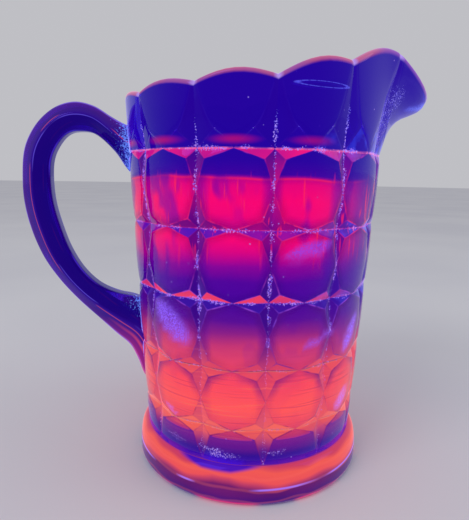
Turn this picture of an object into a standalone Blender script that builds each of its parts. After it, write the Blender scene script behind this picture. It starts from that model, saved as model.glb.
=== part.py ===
"""Pressed glass pitcher in a cube pattern: pressed body with pulled spout, foot, stuck handle.

Units are metres.  Z is up, the pitcher stands on Z = 0, the axis of the bowl is the Z axis,
the spout points along +X and the handle along -X.
"""
import math

import bmesh
import bpy

MM = 0.001

# ---- pressed pattern ------------------------------------------------------------------
COLUMNS = 12                       # cubes round the bowl; a valley lies in the spout plane
COLUMN = 2.0 * math.pi / COLUMNS
BOWL_R = 56.2                      # radius at the crossings of the lowest cross valley (mm)
BOWL_FLARE = 7.0                   # how much wider the bowl is at the top cross valley (mm)
ROW_H = 32.1                       # height of a row of cubes (mm)
ROW_EASE = [-2.2, 0.2, 0.1, 1.8]   # how far each row differs from it, lowest row first (mm)
HALF_ROW = 17.8                    # height of the plain-ended row above the foot (mm)
RELIEF = 2.3                       # height of a cube face above the crossing (mm)
CROWN = 0.5                        # extra rise at the middle of a face (mm)
CORNER_IN = 4.2                    # how far a cube corner stands in from the crossing (mm)

# ---- foot -------------------------------------------------------------------------------
FOOT_Z = 18.3                      # height of the foot (mm)
FOOT_OUT = 5.1                     # how far the foot stands out beyond the neck (mm)
FOOT_LEDGE = 0.7                   # flat left round the neck on top of the foot (mm)
FOOT_SHOULDER = 11.0               # height of the rounded shoulder (mm)
FOOT_EDGE = 3.0                    # rounding at the ground edge (mm)
FOOT_STEPS = 72                    # facets round the turned foot

# ---- bowl -------------------------------------------------------------------------------
JOIN_GAP = 0.3                     # clearance kept between neighbouring solids (mm)
NECK_TUCK = 0.6                    # how far the neck is drawn in above the foot (mm)
BASE = 8.4                         # glass between the neck and the inside floor (mm)
FLOOR_ROUND = 9.0                  # inside corner radius at the floor (mm)
WALL = 3.4                         # glass left behind a valley crossing (mm)
RIM_OUT = 1.5                      # how far the rim stands out from the top row's faces (mm)
RIM_WALL = 4.4                     # wall at the rim (mm)
RIM_ROUND = 1.6                    # fire-polished rounding of the rim (mm)
COLLAR_CORNER = (9.4, 6.7)         # side and rise of a collar panel's lower corner (mm)
COLLAR_GROOVE = (1.2, 0.5)         # half width and depth of the collar valley at the rim (mm)

# Rim heights above the top cross valley, at the valleys from the spout plane round to the
# handle (mm), and how far each scallop stands above the line between its two notches (mm).
RIM_NOTCH = [41.3, 49.3, 35.5, 27.2, 25.1, 23.7, 23.5]
RIM_SCALLOP = [2.5, 1.2, 3.6, 3.4, 2.7, 2.5]

# Spout profile in its own plane: share of the way up the collar, reach beyond the top row's
# faces, height above the top cross valley (mm).
SPOUT = [(0.0, 0.0, 0.0), (0.2, 2.1, 6.8), (0.4, 5.7, 13.7), (0.6, 11.5, 19.3),
         (0.8, 19.1, 22.6), (0.92, 23.7, 24.9), (1.0, 26.1, 28.9)]
SPOUT_SPREAD = math.radians(25.5)  # how quickly the pull fades to each side
SPOUT_FULL = 2.2                   # how round the spout is in plan

# ---- handle -----------------------------------------------------------------------------
HANDLE_HALF = 9.2                  # half width of the grip (mm)
HANDLE_FLAT = 0.46                 # width of the flat outer and inner faces, share of the width
HANDLE_STEPS = 2                   # lofted steps between two stations
# Stations from the top join to the tail, in the handle plane.  Each is the outer edge's reach
# from the side of the bowl and height, the same for the inner edge, and the half width as
# a share of the grip's.  Heights count from the lowest cross valley, on a bowl whose top
# cross valley is HANDLE_RUN above it, and stretch with the rows so the joins keep their rows.
HANDLE_RUN = 128.3
HANDLE = [(-7.8, 138.6, -8.3, 112.6, 1.30), (2.5, 142.1, 2.4, 118.1, 1.24),
          (9.8, 145.9, 9.6, 128.6, 1.11), (18.5, 151.2, 18.6, 137.0, 1.02),
          (28.4, 152.9, 27.0, 138.4, 1.00), (38.8, 149.3, 33.3, 136.5, 1.00),
          (48.1, 141.0, 38.7, 130.6, 1.00), (54.6, 129.6, 42.1, 123.4, 1.00),
          (57.2, 115.6, 43.4, 113.6, 1.00), (57.7, 101.6, 43.2, 102.2, 1.00),
          (55.6, 87.6, 41.1, 90.6, 1.00), (50.8, 73.1, 37.4, 77.8, 1.00),
          (43.5, 60.6, 31.6, 66.6, 1.00), (34.7, 49.6, 23.8, 58.4, 1.01),
          (25.6, 40.2, 14.5, 53.8, 1.04), (16.7, 31.0, 5.4, 51.6, 1.09),
          (9.7, 24.0, -2.8, 47.6, 1.09), (6.0, 15.2, -7.5, 41.6, 0.87),
          (4.0, 7.6, -9.4, 31.6, 0.61), (1.7, 2.6, -10.5, 23.6, 0.39)]

# ---- worked out from the sizes above ----------------------------------------------------
NECK_Z = FOOT_Z + JOIN_GAP         # underside of the bowl
FLOOR_Z = NECK_Z + BASE            # inside floor
LINE_Z = [NECK_Z + HALF_ROW]       # cross valleys, lowest first
for ease in ROW_EASE:
    LINE_Z.append(LINE_Z[-1] + ROW_H + ease)
LOW_Z, TOP_Z = LINE_Z[0], LINE_Z[-1]
FACE_R = BOWL_R + BOWL_FLARE + RELIEF       # the top row's faces


def lerp(a, b, t):
    """Value a share t of the way from a to b."""
    return a + (b - a) * t


def table(rows, x, col):
    """Straight-line value of column col at x in rows sorted by their first entry."""
    for p, q in zip(rows, rows[1:]):
        if x <= q[0]:
            return lerp(p[col], q[col], (x - p[0]) / (q[0] - p[0]))
    return rows[-1][col]


def from_spout(angle):
    """Angle away from the spout plane, 0 to pi."""
    a = abs(math.remainder(angle, 2.0 * math.pi))
    return min(a, math.pi)


def rim_height(angle):
    """Height of the scalloped rim before the spout is pulled (mm)."""
    a = from_spout(angle) / COLUMN
    k = min(int(a), len(RIM_SCALLOP) - 1)
    t = a - k
    notch = lerp(RIM_NOTCH[k], RIM_NOTCH[k + 1], t)
    return TOP_Z + notch + RIM_SCALLOP[k] * math.sin(math.pi * t)


def spout_pull(angle):
    """How far the wall at this angle is drawn into the spout profile, 0 to 1."""
    return math.exp(-(from_spout(angle) / SPOUT_SPREAD) ** SPOUT_FULL)


def line_radius(z):
    """Radius of the valley crossings at height z (mm)."""
    return BOWL_R + BOWL_FLARE * (z - LOW_Z) / (TOP_Z - LOW_Z)


NECK_R = line_radius(NECK_Z) + RELIEF - NECK_TUCK
FOOT_R = NECK_R + FOOT_OUT


def collar_point(angle, t, relief):
    """Point on the outside of the collar, a share t of the way up; relief in mm."""
    pull = spout_pull(angle)
    r = lerp(FACE_R + RIM_OUT * t, FACE_R + table(SPOUT, t, 1), pull)
    z = lerp(lerp(TOP_Z, rim_height(angle), t), TOP_Z + table(SPOUT, t, 2), pull)
    return r + relief - RELIEF, z


def column_angles(inset):
    """Angles inside one column, measured from its left valley, for a corner inset angle."""
    half = COLUMN / 2.0
    mid = (inset + half) / 2.0
    return [0.0, inset, mid, half, COLUMN - mid, COLUMN - inset]


def outer_rings(grow):
    """Rings of the pressed outside from the rim down to the neck, grown by grow (mm)."""
    rings = []
    # collar: share of the height, corner inset in mm, relief at the valley
    wide, rise = COLLAR_CORNER
    share = rise / (rim_height(math.pi) - TOP_Z)
    narrow, depth = COLLAR_GROOVE
    levels = [1.0, 0.86, 0.70, 0.52, 0.36, share]
    for t in levels:
        k = (t - share) / (1.0 - share)
        inset = lerp(wide, narrow, k ** 0.6) / (FACE_R + RIM_OUT)
        sunk = lerp(RELIEF * 0.75, depth, k ** 0.6)
        ring = []
        for c in range(COLUMNS):
            for i, a in enumerate(column_angles(inset)):
                angle = c * COLUMN + a
                r, z = collar_point(angle, t, RELIEF - sunk if i == 0 else RELIEF)
                ring.append((angle, r + grow, z))
        rings.append(ring)
    # rows of cubes
    for row in range(len(LINE_Z) - 1, -1, -1):
        top = LINE_Z[row]
        bottom = LINE_Z[row - 1] if row else NECK_Z
        stops = [(top, 'line'), (top - CORNER_IN, 'corner')]
        if row:
            stops += [((top + bottom) / 2.0, 'middle'), (bottom + CORNER_IN, 'corner')]
        else:
            stops.append((NECK_Z, 'neck'))
        for z, kind in stops:
            base = line_radius(z)
            inset = CORNER_IN / base
            ring = []
            for c in range(COLUMNS):
                for i, a in enumerate(column_angles(inset)):
                    along = min(a, COLUMN - a) / (COLUMN / 2.0)
                    if kind == 'line':
                        relief = RELIEF * along
                    elif kind == 'corner':
                        fall = 2.0 * CORNER_IN / ROW_H
                        relief = RELIEF * fall if i == 0 else RELIEF + CROWN * 0.5 * along
                    elif kind == 'middle':
                        relief = RELIEF + CROWN * along
                    else:
                        relief = RELIEF - NECK_TUCK
                    ring.append((c * COLUMN + a, base + relief + grow, z))
            rings.append(ring)
    return rings


def inner_rings():
    """Rings of the smooth inside, from the rim down to the floor."""
    rings = []
    for t in (1.0, 0.86, 0.70, 0.52, 0.36, 0.16, 0.0):
        ring = []
        for c in range(COLUMNS):
            for a in column_angles(COLUMN / 6.0):
                angle = c * COLUMN + a
                r, z = collar_point(angle, t, RELIEF)
                pull = spout_pull(angle)
                wall = lerp(WALL + RELIEF, RIM_WALL, t)
                # on the pulled lip the wall lies nearly flat, so it is thinned upward too
                tilt = pull * min(1.0, t * 1.6)
                rise = wall * tilt * (1.0 - t) ** 0.25
                ring.append((angle, r - wall * (1.0 - 0.65 * tilt), z + rise))
        rings.append(ring)
    for t in (0.25, 0.5, 0.75, 1.0):
        z = lerp(TOP_Z, FLOOR_Z + FLOOR_ROUND, t)
        rings.append([(c * COLUMN + a, line_radius(z) - WALL, z)
                      for c in range(COLUMNS) for a in column_angles(COLUMN / 6.0)])
    foot_r = line_radius(FLOOR_Z + FLOOR_ROUND) - WALL
    for q in (30.0, 60.0, 90.0):
        s, k = math.sin(math.radians(q)), 1.0 - math.cos(math.radians(q))
        rings.append([(c * COLUMN + a, foot_r - FLOOR_ROUND * k,
                       FLOOR_Z + FLOOR_ROUND * (1.0 - s))
                      for c in range(COLUMNS) for a in column_angles(COLUMN / 6.0)])
    return rings


def add_ring(bm, ring):
    """Add one ring of (angle, radius, height) points in mm."""
    return [bm.verts.new((r * MM * math.cos(a), r * MM * math.sin(a), z * MM)) for a, r, z in ring]


def bridge(bm, upper, lower):
    """Close the band between two rings with outward facing quads."""
    n = len(upper)
    return [bm.faces.new((upper[i], lower[i], lower[(i + 1) % n], upper[(i + 1) % n]))
            for i in range(n)]


def fan(bm, ring, z):
    """Close a ring with a fan of triangles to a point on the axis at height z (mm)."""
    tip = bm.verts.new((0.0, 0.0, z * MM))
    n = len(ring)
    for i in range(n):
        bm.faces.new((ring[i], ring[(i + 1) % n], tip))


def band_split(bm, quads, kind, per_column):
    """Split a cube band: folds fall away from a line above, rise towards a line below."""
    for n, face in enumerate(quads):
        i = n % per_column
        vs = list(face.verts)
        left = i < per_column // 2
        first = i in (0, per_column - 1)
        down = kind == 'from_line'
        if not first:
            down = not down
        a, b = ((vs[0], vs[2]) if left == down else (vs[1], vs[3]))
        bmesh.utils.face_split(face, a, b)


def mesh_object(name, bm, coll):
    """Make an object from a bmesh and link it."""
    bmesh.ops.recalc_face_normals(bm, faces=bm.faces)
    if bm.calc_volume(signed=True) < 0.0:
        bmesh.ops.reverse_faces(bm, faces=bm.faces)
    mesh = bpy.data.meshes.new(name)
    bm.to_mesh(mesh)
    bm.free()
    ob = bpy.data.objects.new(name, mesh)
    coll.objects.link(ob)
    return ob


def skin(bm, grow):
    """Pressed outside from rim to neck; returns the rim ring and the neck ring."""
    rings = [add_ring(bm, ring) for ring in outer_rings(grow)]
    per = len(rings[0]) // COLUMNS
    collar = 6
    for k in range(len(rings) - 1):
        quads = bridge(bm, rings[k], rings[k + 1])
        if k < collar - 1:
            continue
        if k == collar - 1:
            band_split(bm, quads, 'to_line', per)
        else:
            phase = (k - collar) % 4
            if phase == 0:
                band_split(bm, quads, 'from_line', per)
            elif phase == 3:
                band_split(bm, quads, 'to_line', per)
    left = [f for f in bm.faces if len(f.verts) == 4]
    bmesh.ops.triangulate(bm, faces=left, quad_method='FIXED')
    return rings[0], rings[-1]


def pressed_body(coll):
    """Bowl, collar and pulled spout: one pressed wall with a fire-polished rim."""
    bm = bmesh.new()
    rim, neck = skin(bm, 0.0)
    inner = [add_ring(bm, ring) for ring in inner_rings()]
    for a, b in zip(inner, inner[1:]):
        bridge(bm, b, a)
    fan(bm, inner[-1], FLOOR_Z)
    fan(bm, neck, NECK_Z)
    n = len(rim)
    # rounded rim: one raised ring between the outer and the inner edge
    crest = []
    for i in range(n):
        mid = (rim[i].co + inner[0][i].co) / 2.0
        mid.z += RIM_ROUND * MM
        crest.append(bm.verts.new(mid))
    bridge(bm, crest, rim)
    bridge(bm, inner[0], crest)
    return mesh_object('pressed_body', bm, coll)


def body_cutter(coll):
    """Solid copy of the pressed outside, one clearance larger, that trims the handle."""
    bm = bmesh.new()
    rim, neck = skin(bm, JOIN_GAP)
    fan(bm, rim, rim_height(math.pi))
    fan(bm, neck, NECK_Z)
    return mesh_object('cut_body', bm, coll)


def foot(coll):
    """Turned foot: flat ground underside, rounded edge, shoulder sloping in to the bowl."""
    top = NECK_R + FOOT_LEDGE
    profile = [(0.0, FOOT_Z), (top, FOOT_Z)]
    for q, k in ((0.09, 0.36), (0.39, 0.77), (1.0, 1.0)):
        profile.append((lerp(top, FOOT_R, k), FOOT_Z - FOOT_SHOULDER * q))
    for q in (0.0, 30.0, 60.0, 90.0):
        s, k = math.sin(math.radians(q)), math.cos(math.radians(q))
        profile.append((FOOT_R - FOOT_EDGE * (1.0 - k), FOOT_EDGE * (1.0 - s)))
    profile.append((0.0, 0.0))
    bm = bmesh.new()
    vs = [bm.verts.new((x * MM, 0.0, z * MM)) for x, z in profile]
    for a, b in zip(vs, vs[1:]):
        bm.edges.new((a, b))
    mesh = bpy.data.meshes.new('foot')
    bm.to_mesh(mesh)
    bm.free()
    ob = bpy.data.objects.new('foot', mesh)
    coll.objects.link(ob)
    turn = ob.modifiers.new('turn', 'SCREW')
    turn.steps = turn.render_steps = FOOT_STEPS
    turn.use_merge_vertices = True
    turn.merge_threshold = 0.00001
    turn.use_smooth_shade = False
    return ob


def smooth(rows, k, t):
    """Catmull-Rom value a share t of the way from rows[k] to rows[k + 1]."""
    p0, p1 = rows[max(k - 1, 0)], rows[k]
    p2, p3 = rows[k + 1], rows[min(k + 2, len(rows) - 1)]
    out = []
    for a, b, c, d in zip(p0, p1, p2, p3):
        out.append(0.5 * (2.0 * b + (c - a) * t + (2.0 * a - 5.0 * b + 4.0 * c - d) * t * t
                          + (3.0 * b - 3.0 * c + d - a) * t * t * t))
    return out


def handle_height(h):
    """Height of a handle station on this bowl (mm)."""
    return LOW_Z + h * (TOP_Z - LOW_Z) / HANDLE_RUN


def handle(coll, cutter):
    """Stuck handle: six-sided bar lofted through its stations, trimmed to the bowl."""
    rows = []
    for k in range(len(HANDLE) - 1):
        for step in range(HANDLE_STEPS):
            rows.append(smooth(HANDLE, k, step / HANDLE_STEPS))
    rows.append(list(HANDLE[-1]))
    bm = bmesh.new()
    rings = []
    for out_reach, out_h, in_reach, in_h, share in rows:
        oz, iz = handle_height(out_h), handle_height(in_h)
        ox, ix = line_radius(oz) + out_reach, line_radius(iz) + in_reach
        w = HANDLE_HALF * share
        flat = w * HANDLE_FLAT
        mx, mz = lerp(ox, ix, 0.46), lerp(oz, iz, 0.46)
        six = [(ox, flat, oz), (mx, w, mz), (ix, flat, iz),
               (ix, -flat, iz), (mx, -w, mz), (ox, -flat, oz)]
        rings.append([bm.verts.new((-x * MM, y * MM, z * MM)) for x, y, z in six])
    for a, b in zip(rings, rings[1:]):
        bridge(bm, a, b)
    bm.faces.new(rings[0])
    bm.faces.new(rings[-1])
    ob = mesh_object('handle', bm, coll)
    soft = ob.modifiers.new('soft_edges', 'BEVEL')
    soft.width = 0.9 * MM
    soft.segments = 1
    soft.limit_method = 'ANGLE'
    soft.angle_limit = math.radians(25.0)
    cut = ob.modifiers.new('seat_on_bowl', 'BOOLEAN')
    cut.operation = 'DIFFERENCE'
    cut.solver = 'EXACT'
    cut.object = cutter
    return ob


def glass(name, colour):
    """Clear coloured glass."""
    mat = bpy.data.materials.new(name)
    mat.use_nodes = True
    shader = mat.node_tree.nodes['Principled BSDF']
    shader.inputs['Base Color'].default_value = colour
    shader.inputs['Roughness'].default_value = 0.05
    shader.inputs['IOR'].default_value = 1.52
    shader.inputs['Transmission Weight'].default_value = 1.0
    return mat


def main():
    """Build the pitcher."""
    for ob in list(bpy.data.objects):
        bpy.data.objects.remove(ob, do_unlink=True)
    scene = bpy.context.scene
    coll = bpy.data.collections.new('cube_pattern_pitcher')
    cutters = bpy.data.collections.new('cutters')
    scene.collection.children.link(coll)
    scene.collection.children.link(cutters)
    cutter = body_cutter(cutters)
    cutter.hide_render = True
    cutter.display_type = 'WIRE'
    parts = [pressed_body(coll), foot(coll), handle(coll, cutter)]
    tints = [(0.45, 0.01, 0.20, 1.0), (0.85, 0.16, 0.05, 1.0), (0.16, 0.02, 0.30, 1.0)]
    for ob, tint in zip(parts, tints):
        ob.data.materials.append(glass(ob.name + '_glass', tint))


main()
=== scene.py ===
"""Pressed glass pitcher in a cube pattern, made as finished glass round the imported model."""
import math
from functools import partial

import bmesh
import bpy
from mathutils import Matrix, Vector


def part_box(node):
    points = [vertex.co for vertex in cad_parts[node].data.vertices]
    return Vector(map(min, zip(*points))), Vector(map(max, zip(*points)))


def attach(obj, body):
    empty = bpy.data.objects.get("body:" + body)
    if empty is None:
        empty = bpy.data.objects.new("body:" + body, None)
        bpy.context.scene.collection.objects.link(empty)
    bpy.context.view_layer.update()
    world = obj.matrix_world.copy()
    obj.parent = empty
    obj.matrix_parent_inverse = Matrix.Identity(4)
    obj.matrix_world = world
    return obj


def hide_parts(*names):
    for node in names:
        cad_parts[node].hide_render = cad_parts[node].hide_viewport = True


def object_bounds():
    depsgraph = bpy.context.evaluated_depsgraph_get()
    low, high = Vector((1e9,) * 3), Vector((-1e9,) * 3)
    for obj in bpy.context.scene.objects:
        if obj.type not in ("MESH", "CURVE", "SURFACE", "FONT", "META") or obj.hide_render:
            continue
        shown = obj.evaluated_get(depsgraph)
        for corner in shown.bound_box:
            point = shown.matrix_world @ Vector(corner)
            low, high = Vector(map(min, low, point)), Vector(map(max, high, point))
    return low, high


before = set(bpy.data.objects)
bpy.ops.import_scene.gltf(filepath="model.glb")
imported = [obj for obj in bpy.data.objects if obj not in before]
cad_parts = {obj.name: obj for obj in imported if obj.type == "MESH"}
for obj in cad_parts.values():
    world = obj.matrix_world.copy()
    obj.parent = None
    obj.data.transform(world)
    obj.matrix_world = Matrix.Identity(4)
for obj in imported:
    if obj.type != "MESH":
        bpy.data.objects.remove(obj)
cad_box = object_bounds()

MM = 0.001

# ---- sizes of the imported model, in mm ----------------------------------------------------
COLUMNS = 12
COLUMN = 2.0 * math.pi / COLUMNS
HALF = COLUMN / 2.0
BOWL_R, BOWL_FLARE = 56.2, 7.0
ROW_HEIGHTS = [29.9, 32.3, 32.2, 33.9]
HALF_ROW = 17.8
RELIEF, CROWN, CORNER_IN = 2.3, 0.5, 4.2
FOOT_OUT, FOOT_LEDGE, FOOT_SHOULDER, FOOT_EDGE = 5.1, 0.7, 11.0, 3.0
JOIN_GAP, NECK_TUCK, BASE, FLOOR_ROUND, WALL = 0.3, 0.6, 8.4, 9.0, 3.4
RIM_OUT, RIM_WALL, RIM_ROUND = 1.5, 4.4, 1.6
COLLAR_CORNER, COLLAR_GROOVE = (9.4, 6.7), (1.2, 0.5)
RIM_NOTCH = [41.3, 49.3, 35.5, 27.2, 25.1, 23.7, 23.5]
RIM_SCALLOP = [2.5, 1.2, 3.6, 3.4, 2.7, 2.5]
SPOUT = [(0.0, 0.0, 0.0), (0.2, 2.1, 6.8), (0.4, 5.7, 13.7), (0.6, 11.5, 19.3),
         (0.8, 19.1, 22.6), (0.92, 23.7, 24.9), (1.0, 26.1, 28.9)]
SPOUT_SPREAD, SPOUT_FULL = math.radians(25.5), 2.2
HANDLE_HALF, HANDLE_FLAT, HANDLE_SIDE = 9.2, 0.46, 0.46
HANDLE = [(-7.8, 138.6, -8.3, 112.6, 1.30), (2.5, 142.1, 2.4, 118.1, 1.24),
          (9.8, 145.9, 9.6, 128.6, 1.11), (18.5, 151.2, 18.6, 137.0, 1.02),
          (28.4, 152.9, 27.0, 138.4, 1.00), (38.8, 149.3, 33.3, 136.5, 1.00),
          (48.1, 141.0, 38.7, 130.6, 1.00), (54.6, 129.6, 42.1, 123.4, 1.00),
          (57.2, 115.6, 43.4, 113.6, 1.00), (57.7, 101.6, 43.2, 102.2, 1.00),
          (55.6, 87.6, 41.1, 90.6, 1.00), (50.8, 73.1, 37.4, 77.8, 1.00),
          (43.5, 60.6, 31.6, 66.6, 1.00), (34.7, 49.6, 23.8, 58.4, 1.01),
          (25.6, 40.2, 14.5, 53.8, 1.04), (16.7, 31.0, 5.4, 51.6, 1.09),
          (9.7, 24.0, -2.8, 47.6, 1.09), (6.0, 15.2, -7.5, 41.6, 0.87),
          (4.0, 7.6, -9.4, 31.6, 0.61), (1.7, 2.6, -10.5, 23.6, 0.39)]

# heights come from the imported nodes: the foot's top, then the cross valleys above it
FOOT_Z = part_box("foot")[1].z / MM
NECK_Z = FOOT_Z + JOIN_GAP
FLOOR_Z = NECK_Z + BASE
LINE_Z = [NECK_Z + HALF_ROW]
for height in ROW_HEIGHTS:
    LINE_Z.append(LINE_Z[-1] + height)
LOW_Z, TOP_Z = LINE_Z[0], LINE_Z[-1]
FACE_R = BOWL_R + BOWL_FLARE + RELIEF
COLLAR_SHARE = COLLAR_CORNER[1] / RIM_NOTCH[-1]
COLLAR_HALF = (FACE_R + RIM_OUT) * HALF          # half a column at the collar, in mm

# ---- how the pressed edges are softened, in mm -------------------------------------------
EDGE_DROP, EDGE_REACH = 0.14, 0.30               # fire-polished cube edges
VALLEY_FILL, VALLEY_REACH = 0.12, 0.35           # the mould's own radius in a valley
ACROSS = [0.0, 0.07, 0.18, 0.45, 0.75, 0.92, 1.0]
ALONG = [0.0, 0.022, 0.06, 0.13, 0.24, 0.38, 0.54, 0.76, 1.0]
COLLAR_ALONG = [0.0, 0.02, 0.05, 0.1, 0.17, 0.25, 0.34, 0.44, 0.54, 0.64, 0.74, 0.83, 0.91, 0.96,
                1.0]
MERGE, SEAM_MERGE = 2e-6, 2e-5                   # vertices this close are one, in metres
RIM_STEPS = 8                                    # steps over the rounded rim
FLOOR_DIP = 0.4                                  # how far the inside floor sinks to its middle, in mm
INSIDE = (0.97, 0.92, 0.84, 0.75, 0.65, 0.55, 0.45, 0.35, 0.25, 0.16, 0.08, 0.0)
SKIN_GAP = 0.15                                  # from the cubes to the handle, in mm
FAR = 9.0                                        # distance noted where no cube edge is near, in mm


# ---- small mathematics -------------------------------------------------------------------
def lerp(a, b, t):
    """Value a share t of the way from a to b."""
    return a + (b - a) * t


def mix2(p, q, t):
    """Point a share t of the way from p to q."""
    return lerp(p[0], q[0], t), lerp(p[1], q[1], t)


def table(rows, x, col):
    """Straight-line value of column col at x in rows sorted by their first entry."""
    for p, q in zip(rows, rows[1:]):
        if x <= q[0]:
            return lerp(p[col], q[col], (x - p[0]) / (q[0] - p[0]))
    return rows[-1][col]


def step(x, low, high):
    """Smooth rise from 0 at low to 1 at high."""
    t = min(1.0, max(0.0, (x - low) / (high - low)))
    return t * t * (3.0 - 2.0 * t)


def catmull(rows, k, t):
    """Smooth value a share t of the way from rows[k] to rows[k + 1]."""
    p0, p1 = rows[max(k - 1, 0)], rows[k]
    p2, p3 = rows[k + 1], rows[min(k + 2, len(rows) - 1)]
    return [0.5 * (2.0 * b + (c - a) * t + (2.0 * a - 5.0 * b + 4.0 * c - d) * t * t
                   + (3.0 * b - 3.0 * c + d - a) * t * t * t)
            for a, b, c, d in zip(p0, p1, p2, p3)]


# ---- the pitcher's outline ---------------------------------------------------------------
def from_spout(angle):
    """Angle away from the spout plane, 0 to pi."""
    return min(abs(math.remainder(angle, 2.0 * math.pi)), math.pi)


def rim_height(angle):
    """Height of the scalloped rim before the spout is pulled (mm)."""
    a = from_spout(angle) / COLUMN
    k = min(int(a + 1e-9), len(RIM_SCALLOP) - 1)
    t = min(max(a - k, 0.0), 1.0)
    notch = lerp(RIM_NOTCH[k], RIM_NOTCH[k + 1], t)
    return TOP_Z + notch + RIM_SCALLOP[k] * math.sin(math.pi * t)


def spout_pull(angle):
    """How far the wall at this angle is drawn into the spout profile, 0 to 1."""
    return math.exp(-(from_spout(angle) / SPOUT_SPREAD) ** SPOUT_FULL)


def line_radius(z):
    """Radius of the valley crossings at height z (mm)."""
    return BOWL_R + BOWL_FLARE * (z - LOW_Z) / (TOP_Z - LOW_Z)


def spout_curve(t, col):
    """Spout profile at share t, rounded between its stations."""
    for k in range(len(SPOUT) - 1):
        if t <= SPOUT[k + 1][0] + 1e-9:
            local = (t - SPOUT[k][0]) / (SPOUT[k + 1][0] - SPOUT[k][0])
            soft = catmull(SPOUT, k, local)[col]
            return lerp(table(SPOUT, t, col), soft, 0.8)
    return SPOUT[-1][col]


def collar_point(angle, t, relief):
    """Radius and height of a point of the collar, a share t of the way up (mm)."""
    pull = spout_pull(angle)
    r = lerp(FACE_R + RIM_OUT * t, FACE_R + spout_curve(t, 1), pull)
    z = lerp(lerp(TOP_Z, rim_height(angle), t), TOP_Z + spout_curve(t, 2), pull)
    return r + relief - RELIEF, z


NECK_R = line_radius(NECK_Z) + RELIEF - NECK_TUCK
FOOT_R = NECK_R + FOOT_OUT


def segment_gap(p, a, b):
    """Distance from p to the line piece a to b, all in mm."""
    dx, dy = b[0] - a[0], b[1] - a[1]
    t = ((p[0] - a[0]) * dx + (p[1] - a[1]) * dy) / max(dx * dx + dy * dy, 1e-9)
    t = min(1.0, max(0.0, t))
    return math.hypot(p[0] - a[0] - dx * t, p[1] - a[1] - dy * t)


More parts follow.
